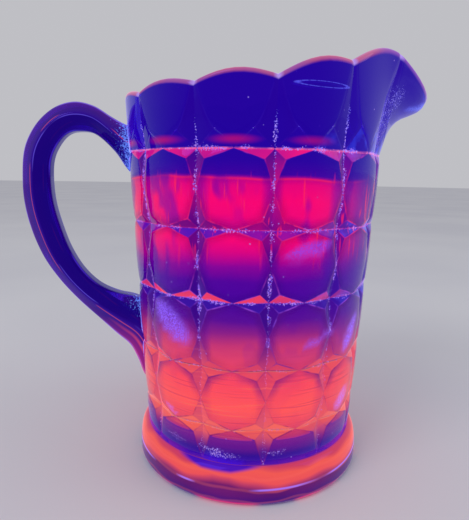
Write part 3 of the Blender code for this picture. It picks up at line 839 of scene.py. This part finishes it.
def pressed_glass(name):
    """Pressed and fire-polished glass: glossy, clear and tinted, with soft cube edges and the
    pale dust of years in the valleys, which no cloth reaches."""
    material, tree, shader, put, where = glass(name, '#ffffff', 0.05, 1.0)
    x, y, z = put('SeparateXYZ', where, out=ALL)
    (edge, valley, level), (is_level, turned, way), (frost, residue, share) = (
        put('SeparateXYZ', put('Attribute', out='Vector', attribute_name=note), out=ALL)
        for note in ('cube', 'facet', 'wear'))
    is_upright = put('Math', turned, operation='ABSOLUTE')
    up = put('Math', z, 1.0 / (RAMP_TOP * MM), operation='MULTIPLY')
    fine, ragged, broad, dusty, moody = (
        put('TexNoise', {'Vector': where, 'Scale': 1.0 / (size * MM), 'Detail': detail}, out='Fac')
        for size, detail in ((0.9, 2.0), (6.0, 2.0), (26.0, 1.0), (0.6, 1.0), (34.0, 0.0)))

    # clear glass, deeper violet in the collar; each cube's tint darkens towards its edges, a painted
    # shade
    tint = put('ValToRGB', up, stops=z_stops(
        [(20, '#d8b8e8'), (40, '#fff4f4'), (90, '#f4e0ff'), (150, '#f0d8ff'), (160, '#8048e8'),
         (168, '#4a14d0'), (200, '#4010c8')]))
    edge_shade = put('MapRange', edge, 0.0, 4.5, 1.0, 0.0, **SMOOTH)
    edge_shade_depth = put('ValToRGB', up, stops=z_stops(
        [(20, '#707070'), (45, '#404040'), (62, '#808080'), (80, '#a0a0a0'), (140, '#c8c8c8'),
         (165, '#404040')]))
    edge_shade = put('Math', edge_shade, edge_shade_depth, operation='MULTIPLY')
    tint = put('Mix', {0: edge_shade, 6: tint, 7: '#5a2aa8'}, **PAINT)

    state = (BLACK, 0.0)
    # the collar's own violet, denser at the spout
    collar = put('MapRange', z, 152.0 * MM, 166.0 * MM, 0.0, 0.78)
    beak = put('MapRange', x, 30.0 * MM, 64.0 * MM, 0.0, 1.0)
    beak = put('Math', beak, collar, operation='MULTIPLY')
    collar = put('Mix', {0: beak, 2: collar, 3: 0.93})
    state = lay(put, state, '#24009c', collar)
    # flat crescents of light, 5 mm tall, over the middle of each column's top cube
    off = put('Math', share, -1.0, operation='ADD')
    rise = put('MapRange', z, (TOP_Z + 3.6) * MM, (TOP_Z + 6.0) * MM, 0.0, 1.0, clamp=False)
    spot = put('CombineXYZ', off, rise)
    spot = put('VectorMath', spot, (1.35, 1.0, 0.0), operation='MULTIPLY', out='Vector')
    spot = put('VectorMath', spot, operation='LENGTH', out='Value')
    spot = put('MapRange', spot, 0.0, 1.1, 0.8, 0.0, **SMOOTH)
    dim = put('MapRange', x, 8.0 * MM, 40.0 * MM, 1.0, 0.0)
    in_collar = put('Math', level, float(len(LINE_Z)), operation='GREATER_THAN')
    # facets
    above = put('ValToRGB', up, stops=z_stops(ABOVE))
    below = put('ValToRGB', up, stops=z_stops(BELOW))
    upward = put('Math', way, 0.0, operation='GREATER_THAN')
    flat = put('Mix', {0: upward, 6: below, 7: above}, **PAINT)
    to_spout = put('MapRange', x, 14.0 * MM, 40.0 * MM, 0.0, 0.8)
    high = put('MapRange', z, 84.0 * MM, 96.0 * MM, 0.0, 1.0)
    cool = put('Math', to_spout, high, operation='MULTIPLY')
    bluish = put('MapRange', ragged, 0.44, 0.58, 0.0, 1.0)
    blue_glass = put('Mix', {0: bluish, 6: '#2404a4', 7: '#2c34dc'}, **PAINT)
    flat = put('Mix', {0: cool, 6: flat, 7: blue_glass}, **PAINT)
    upright = put('ValToRGB', up, stops=z_stops(UPRIGHT))
    moody = put('MapRange', moody, 0.44, 0.56, 0.5, 0.0)
    upper = put('MapRange', z, 70.0 * MM, 90.0 * MM, 0.15, 1.0)
    moody = put('Math', moody, upper, operation='MULTIPLY')
    # painted shade: upright facets turned one way are darker, more so higher up
    darker = put('MapRange', turned, -1.0, 1.0, 0.55, 0.0)
    upper = put('MapRange', z, 60.0 * MM, 90.0 * MM, 0.3, 1.0)
    darker = put('Math', darker, upper, operation='MULTIPLY')
    for mask, paint in ((moody, '#32007c'), (cool, '#30089c'), (darker, '#2c0078')):
        upright = put('Mix', {0: mask, 6: upright, 7: paint}, **PAINT)
    streaks = put('MapRange', broad, 0.35, 0.62, 0.55, 0.95)
    state = lay(put, state, flat, is_level, streaks)
    calm = put('MapRange', level, 5.0, 5.1, 1.0, 0.25)
    streaks = put('Math', streaks, calm, operation='MULTIPLY')
    state = lay(put, state, upright, is_upright, streaks)
    state = lay(put, state, '#b00c70', spot, dim, in_collar)
    # dark band of thick glass above the foot
    band = put('MapRange', z, 36.0 * MM, 25.0 * MM, 0.0, 0.92, **SMOOTH)
    state = lay(put, state, put('ValToRGB', up, stops=z_stops(
        [(18, '#5814a0'), (20, '#3408a0'), (24, '#2c0888'), (29, '#6a1480'), (34, '#b03468')])), band)
    # mould ripples low down, thin and nearly level, drawn as painted lines of light and shade, and
    # upright flow lines higher up, drawn as painted lines of light
    wide = put('VectorMath', where, (0.035, 0.035, 1.0), operation='MULTIPLY', out='Vector')
    ripples = put('TexNoise', {'Vector': wide, 'Scale': 1.0 / (1.2 * MM), 'Detail': 1.0}, out='Fac')
    bright = put('MapRange', ripples, 0.62, 0.72, 0.0, 0.5)
    dark = put('MapRange', ripples, 0.40, 0.30, 0.0, 0.45)
    here = put('MapRange', z, 44.0 * MM, 82.0 * MM, 1.0, 0.0)
    start = put('MapRange', z, 30.0 * MM, 38.0 * MM, 0.0, 1.0)
    here = put('Math', here, start, operation='MULTIPLY')
    state = lay(put, state, '#ff6c54', bright, here)
    state = lay(put, state, '#c02c5c', dark, here)
    tall = put('VectorMath', where, (1.0, 1.0, 0.09), operation='MULTIPLY', out='Vector')
    flow = put('TexNoise', {'Vector': tall, 'Scale': 1.0 / (1.9 * MM), 'Detail': 1.0}, out='Fac')
    flow = put('MapRange', flow, 0.64, 0.72, 0.0, 0.6)
    here = put('MapRange', z, 112.0 * MM, 128.0 * MM, 0.0, 1.0)
    stop = put('MapRange', z, 150.0 * MM, 156.0 * MM, 1.0, 0.0)
    state = lay(put, state, '#ff2450', flow, here, stop)
    # painted shade: the corners of the lower cubes stay dark
    corner = put('MapRange', edge, 0.4, 4.5, 0.75, 0.0, **SMOOTH)
    sided = put('MapRange', share, 0.3, 0.95, 1.0, 0.0)
    under = put('ValToRGB', up, stops=z_stops(
        [(30, '#000000'), (40, '#303030'), (52, '#404040'), (60, '#d8d8d8'), (66, '#f0f0f0'),
         (67, '#404040'), (84, '#909090'), (98, '#d0d0d0'), (99, '#000000')]))
    on_face = put('Math', 1.0, put('Math', is_level, is_upright,
                                                operation='ADD'), operation='SUBTRACT')
    state = lay(put, state, '#5a0c78', corner, sided, under, on_face)
    # painted highlight where the cube edges catch the light: a line about 0.4 mm wide, broken up along
    # its length
    line = put('MapRange', edge, 0.12, 0.45, 1.0, 0.0)
    patchy = put('MapRange', ragged, 0.44, 0.60, 0.10, 0.75)
    line = put('Math', line, patchy, operation='MULTIPLY')
    line = put('Math', line, put('MapRange', share, 0.1, 0.4, 0.5, 1.0), operation='MULTIPLY')
    state = lay(put, state, put('ValToRGB', up, stops=z_stops(EDGE_HIGHLIGHTS)), line,
                  put('MapRange', level, 5.0, 5.06, 1.0, 0.08))
    # the root of each cross valley gathers light in a line 0.5 mm wide
    root = put('MapRange', valley, 0.18, 0.5, 0.8, 0.0)
    root = put('Math', root, is_level, operation='MULTIPLY')
    state = lay(put, state, put('ValToRGB', up, stops=z_stops(ROOTS)), root,
                  put('MapRange', ragged, 0.36, 0.5, 0.3, 1.0))
    # frosty wear on some cubes, grainy at 0.6 mm
    grain = put('MapRange', dusty, 0.40, 0.60, 0.35, 1.0)
    frost_colour = put('ValToRGB', up, stops=z_stops(
        [(23, '#3c14d8'), (30, '#d070d8'), (50, '#c874f4'), (75, '#9a60ff'), (92, '#8c58fc'),
         (130, '#8440e8'), (180, '#5c68ff')]))
    state = lay(put, state, frost_colour, frost, grain)
    # dust in the valleys: specks about 0.8 mm across, a little coarser than real dust
    reach = put('MapRange', ragged, 0.36, 0.66, 0.2, 1.5)
    near = put('Math', reach, valley, operation='SUBTRACT')
    near = put('MapRange', near, -0.8, 0.7, 0.0, 0.49)
    fading = put('MapRange', level, 5.45, 5.75, 1.0, 0.0)
    low = put('MapRange', z, 60.0 * MM, 92.0 * MM, 0.70, 1.0)
    uneven = put('MapRange', broad, 0.40, 0.56, 0.84, 1.0)
    for weaker in (fading, low, uneven):
        near = put('Math', near, weaker, operation='MULTIPLY')
    near = put('Math', near, residue, operation='MAXIMUM')
    dust = put('Math', near, dusty, operation='ADD')
    dust = put('MapRange', dust, 0.90, 1.04, 0.0, 0.95)
    powder = put('ValToRGB', up, stops=z_stops(DUST))
    blue = put('MapRange', fine, 0.44, 0.56, 0.0, 0.8)
    blue = put('Math', blue, low, operation='MULTIPLY')
    powder = put('Mix', {0: blue, 6: powder, 7: '#5848f0'}, **PAINT)
    state = lay(put, state, powder, dust)
    # specks of dust scattered over the collar and the faces, about 7 mm apart
    lone = put('TexVoronoi', {'Vector': where, 'Scale': 1.0 / (7.0 * MM)}, out='Distance')
    lone = put('MapRange', lone, 0.03, 0.06, 0.7, 0.0)
    state = lay(put, state, '#a080e8', lone)
    # painted outline of light in the collar where the far rim shows through, 24 mm by 2 mm
    turn = put('Math', y, x, operation='ARCTAN2')
    lens = put('CombineXYZ', turn, z)
    lens = put('VectorMath', lens, (-math.radians(FAR_RIM_GLIMPSE[0]), -FAR_RIM_GLIMPSE[1] * MM, 0.0),
               operation='ADD', out='Vector')
    lens = put('VectorMath', lens, (FACE_R / FAR_RIM_GLIMPSE[2], 1.0 / (FAR_RIM_GLIMPSE[3] * MM), 0.0),
               operation='MULTIPLY', out='Vector')
    lens = put('VectorMath', lens, operation='LENGTH', out='Value')
    lens = put('Math', put('Math', lens, 1.0, operation='SUBTRACT'), operation='ABSOLUTE')
    lens = put('MapRange', lens, 0.05, 0.16, 0.8, 0.0)
    state = lay(put, state, '#5a58f0', lens, put('MapRange', fine, 0.38, 0.50, 0.4, 1.0))
    # the polished rim is salmon where its glass is thickest, violet at the spout, with a painted pale
    # highlight in the notches
    rim = put('MapRange', level, 5.8, 7.1, 0.0, 1.0)
    rim_colour = put('ValToRGB', rim, stops=[
        (0.0, '#2a00a0'), (0.13, '#7a2484'), (0.16, '#b05080'),
        (0.30, '#c46280'), (0.45, '#c06080'), (0.60, '#8c4080'),
        (1.0, '#401488')])
    warm = put('MapRange', broad, 0.4, 0.6, 0.0, 0.6)
    lip = put('MapRange', x, 42.0 * MM, 56.0 * MM, 0.0, 0.5)
    notch = put('MapRange', share, 0.02, 0.13, 0.9, 0.0)
    for mask, paint in ((warm, '#8c50a8'), (lip, '#6a40c8'), (notch, '#b898f0')):
        rim_colour = put('Mix', {0: mask, 6: rim_colour, 7: paint}, **PAINT)
    band = put('ValToRGB', rim, stops=[
        (0.130, '#000000'), (0.150, '#f0f0f0'), (0.50, '#f0f0f0'),
        (0.95, '#000000')])
    state = lay(put, state, rim_colour, band)
    rough = put('MapRange', dust, 0.0, 1.0, 0.05, 0.5)
    settle(tree, put, shader, state, tint, rough)
    return material


def foot_glass(name):
    """Thick pressed glass of the foot: clear, glossy, brightest along its shoulder."""
    material, tree, shader, put, where = glass(name, '#f0b8d8', 0.05, 1.0)
    x, y, z = put('SeparateXYZ', where, out=ALL)
    up = put('Math', z, 1.0 / (FOOT_Z * MM), operation='MULTIPLY')
    broad = put('TexNoise', {'Vector': where, 'Scale': 1.0 / (30.0 * MM), 'Detail': 1.0}, out='Fac')
    sway = put('MapRange', broad, 0.3, 0.7, -0.12, 0.12)
    up = put('Math', up, sway, operation='ADD')
    light = put('ValToRGB', up, stops=[
        (0.0, '#180480'), (0.10, '#240470'), (0.30, '#34086c'),
        (0.45, '#440c64'), (0.58, '#b43a60'), (0.68, '#ea524e'),
        (0.90, '#f05a48'), (1.0, '#c83c58')])
    state = (BLACK, 0.0)
    state = lay(put, state, light, put('MapRange', broad, 0.3, 0.7, 0.86, 0.95))
    # faint flow lines from the press, 5.7 mm apart: a wave repeats every 0.1 pi / its scale
    flow = put('TexWave', {'Vector': where, 'Scale': 0.1 * math.pi / (5.712 * MM),
                           'Distortion': 2.5, 'Detail': 1.0},
               out='Fac', bands_direction='Z')
    flow = put('MapRange', flow, 0.80, 1.0, 0.0, 0.16)
    state = lay(put, state, '#ff7058', flow)
    # dark violet patch at the top of the foot where it meets the neck, reaching lower at one place
    turn = put('Math', y, x, operation='ARCTAN2')
    foot_dark_patch = ridge(put, turn, math.radians(-112.0), math.radians(7.0), math.radians(22.0), 2.7)
    foot_dark_patch = put('Math', z, 1.0 / MM, foot_dark_patch, operation='MULTIPLY_ADD')
    foot_dark_patch = put('MapRange', foot_dark_patch, 17.8, 19.6, 0.0, 0.95, **SMOOTH)
    state = lay(put, state, '#3008b8', foot_dark_patch)
    # painted highlight: a lilac line where the shoulder turns, in places
    line = ridge(put, z, 8.6 * MM, 0.2 * MM, 0.7 * MM)
    gaps = put('MapRange', broad, 0.46, 0.54, 0.0, 0.85)
    state = lay(put, state, '#a878ff', line, gaps)
    # painted red glints along the bottom edge, in places
    glint = put('MapRange', z, 1.6 * MM, 2.6 * MM, 1.0, 0.0)
    other = put('MapRange', broad, 0.50, 0.42, 0.0, 0.7)
    state = lay(put, state, '#e02060', glint, other)
    settle(tree, put, shader, state, '#f0b8d8')
    return material


def foot_core(name):
    """Ground underside and hidden top of the foot, where its depth glows."""
    material, tree, shader, put, where = glass(name, '#14001c', 0.3, 0.0)
    flat = put('VectorMath', where, (1.0, 1.0, 0.0), operation='MULTIPLY', out='Vector')
    far = put('VectorMath', flat, operation='LENGTH', out='Value')
    far = put('Math', far, 1.0 / (62.0 * MM), operation='MULTIPLY')
    glow = put('ValToRGB', far, stops=[(0.0, '#ff5a50'), (0.6, '#f85858'), (0.8, '#d84060'),
                                       (0.92, '#7a2880'), (1.0, '#34088c')])
    tree.links.new(glow, shader.inputs['Emission Color'])
    shader.inputs['Emission Strength'].default_value = 1.0
    return material


def handle_glass(name):
    """Drawn glass bar of the handle: dark in its depth, with a lit outer edge."""
    material, tree, shader, put, where = glass(name, '#3c18c8', 0.05, 1.0)
    z = put('SeparateXYZ', where, out='Z')
    bar = put('Attribute', out='Vector', attribute_name='bar')
    place, along = put('SeparateXYZ', bar, out=slice(0, 2))
    broad = put('TexNoise', {'Vector': where, 'Scale': 1.0 / (22.0 * MM), 'Detail': 1.0}, out='Fac')
    fine = put('TexNoise', {'Vector': where, 'Scale': 1.0 / (0.9 * MM), 'Detail': 2.0}, out='Fac')
    around = put('Math', place, 1.0 / 3.5, operation='MULTIPLY')
    film = put('ValToRGB', around, stops=[
        (0.0, '#3c1490'), (0.20, '#481480'), (0.36, '#38107c'),
        (0.52, '#300c88'), (0.60, '#180070'), (1.0, '#14006c')])
    # low on the tail, the film carries painted orange glints along the bar
    tail = put('MapRange', z, 56.0 * MM, 78.0 * MM, 1.0, 0.0)
    tail_glints = put('ValToRGB', around, stops=[
        (0.0, '#7c2078'), (0.11, '#8c2880'), (0.16, '#ff5a60'),
        (0.21, '#9c2478'), (0.32, '#8c1c78'), (0.37, '#f04c5c'),
        (0.43, '#5c1480'), (0.7, '#24088c'), (1.0, '#1c0480')])
    film = put('Mix', {0: tail, 6: film, 7: tail_glints}, **PAINT)
    state = (BLACK, 0.0)
    state = lay(put, state, film, put('MapRange', broad, 0.3, 0.7, 0.75, 0.92))
    # painted highlights on the polished arrises: thin lines along the outer edge and the side ridge
    for spot, width, code, low, high in ((0.60, 0.10, '#7858d8', 0.40, 0.56),
                                         (2.02, 0.07, '#5c48d0', 0.46, 0.60),
                                         (1.70, 0.06, '#c04468', 0.56, 0.50),
                                         (3.42, 0.07, '#3c28c0', 0.50, 0.62)):
        line = ridge(put, place, spot, width * 0.3, width)
        some = put('MapRange', broad, low, high, 0.0, 0.8)
        state = lay(put, state, code, line, some)
    # pale dirt in the creases at both ends
    top = put('MapRange', along, 1.0, 2.5, 0.43, 0.0)
    bottom = put('MapRange', along, 14.0, 15.6, 0.0, 0.46)
    inside = put('MapRange', place, 2.0, 3.2, 0.0, 1.0)
    bottom = put('Math', bottom, inside, operation='MULTIPLY')
    dirt = put('Math', top, bottom, operation='MAXIMUM')
    dirt = put('Math', dirt, fine, operation='ADD')
    dirt = put('MapRange', dirt, 0.82, 0.98, 0.0, 0.9)
    state = lay(put, state, '#6488ff', dirt)
    settle(tree, put, shader, state, '#3c18c8')
    return material


def studio():
    """Plain pale floor and soft light."""
    scene = bpy.context.scene
    scene.view_settings.view_transform = 'Standard'
    bm = bmesh.new()
    steps = 64
    rings = [ring_verts(bm, [(2.0 * math.pi * i / steps, r / MM, 0.0) for i in range(steps)])
             for r in (0.0005, 0.2, 0.6, 1.5, 4.0, 12.0)]
    bridge(bm, rings)
    bm.faces.new(rings[0])
    mesh = bpy.data.meshes.new('studio_floor')
    bm.to_mesh(mesh)
    bm.free()
    floor = bpy.data.objects.new('studio_floor', mesh)
    floor.location.z = cad_box[0].z - 0.2 * MM
    scene.collection.objects.link(floor)
    material = bpy.data.materials.new('pale_painted_floor')
    material.use_nodes = True
    tree = material.node_tree
    shader = tree.nodes['Principled BSDF']
    shader.inputs['Roughness'].default_value = 0.7
    shader.inputs['Specular IOR Level'].default_value = 0.0
    put = partial(add_node, tree)
    where = put('TexCoord', out='Object')
    tone = put('TexNoise', {'Vector': where, 'Scale': 1.0 / (333.3 * MM)}, out='Fac')
    paint = put('ValToRGB', tone, stops=[(0.3, '#dcdce2'), (0.7, '#e4e4e8')])
    tree.links.new(paint, shader.inputs['Base Color'])
    mesh.materials.append(material)

    world = bpy.data.worlds.new('soft_room')
    scene.world = world
    world.use_nodes = True
    back = world.node_tree.nodes['Background']
    back.inputs['Color'].default_value = colour('#e6e6ec')
    back.inputs['Strength'].default_value = 0.66

    for name, size, power, at in (('key', 0.7, 5.0, (-0.9, -0.8, 1.2)),
                                  ('fill', 0.9, 2.5, (1.2, -0.4, 0.9))):
        lamp = bpy.data.lights.new(name, 'AREA')
        lamp.shape, lamp.size, lamp.energy = 'SQUARE', size, power
        holder = bpy.data.objects.new(name, lamp)
        holder.location = at
        aim = Vector((0.0, 0.0, 0.1)) - Vector(at)
        holder.rotation_euler = aim.to_track_quat('-Z', 'Y').to_euler()
        scene.collection.objects.link(holder)


def camera():
    """Camera a little above half the pitcher's height, looking slightly down."""
    data = bpy.data.cameras.new('camera')
    data.sensor_width, data.lens = 36.0, 32.5
    data.clip_start, data.clip_end = 0.01, 50.0
    holder = bpy.data.objects.new('camera', data)
    holder.matrix_world = (Matrix.Rotation(math.radians(-5.82), 4, 'Z')
                           @ Matrix.Translation((-0.00934, -0.2597, 0.1528))
                           @ Matrix.Rotation(math.radians(80.053), 4, 'X')
                           @ Matrix.Rotation(math.radians(0.992), 4, 'Z'))
    bpy.context.scene.collection.objects.link(holder)
    bpy.context.scene.camera = holder


camera()
studio()
wall = glowing_wall('glowing_inside_wall')
for piece, node, slot in (
        (pressed_body(pressed_glass('pressed_cube_glass'), wall), 'pressed_body', 'body_glass'),
        (pitcher_foot(foot_glass('pressed_foot_glass'), foot_core('glowing_foot_core')), 'foot',
         'foot_glass'),
        (pitcher_handle(handle_glass('drawn_handle_glass')), 'handle', 'handle_glass')):
    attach(piece, "root")
    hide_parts(node)
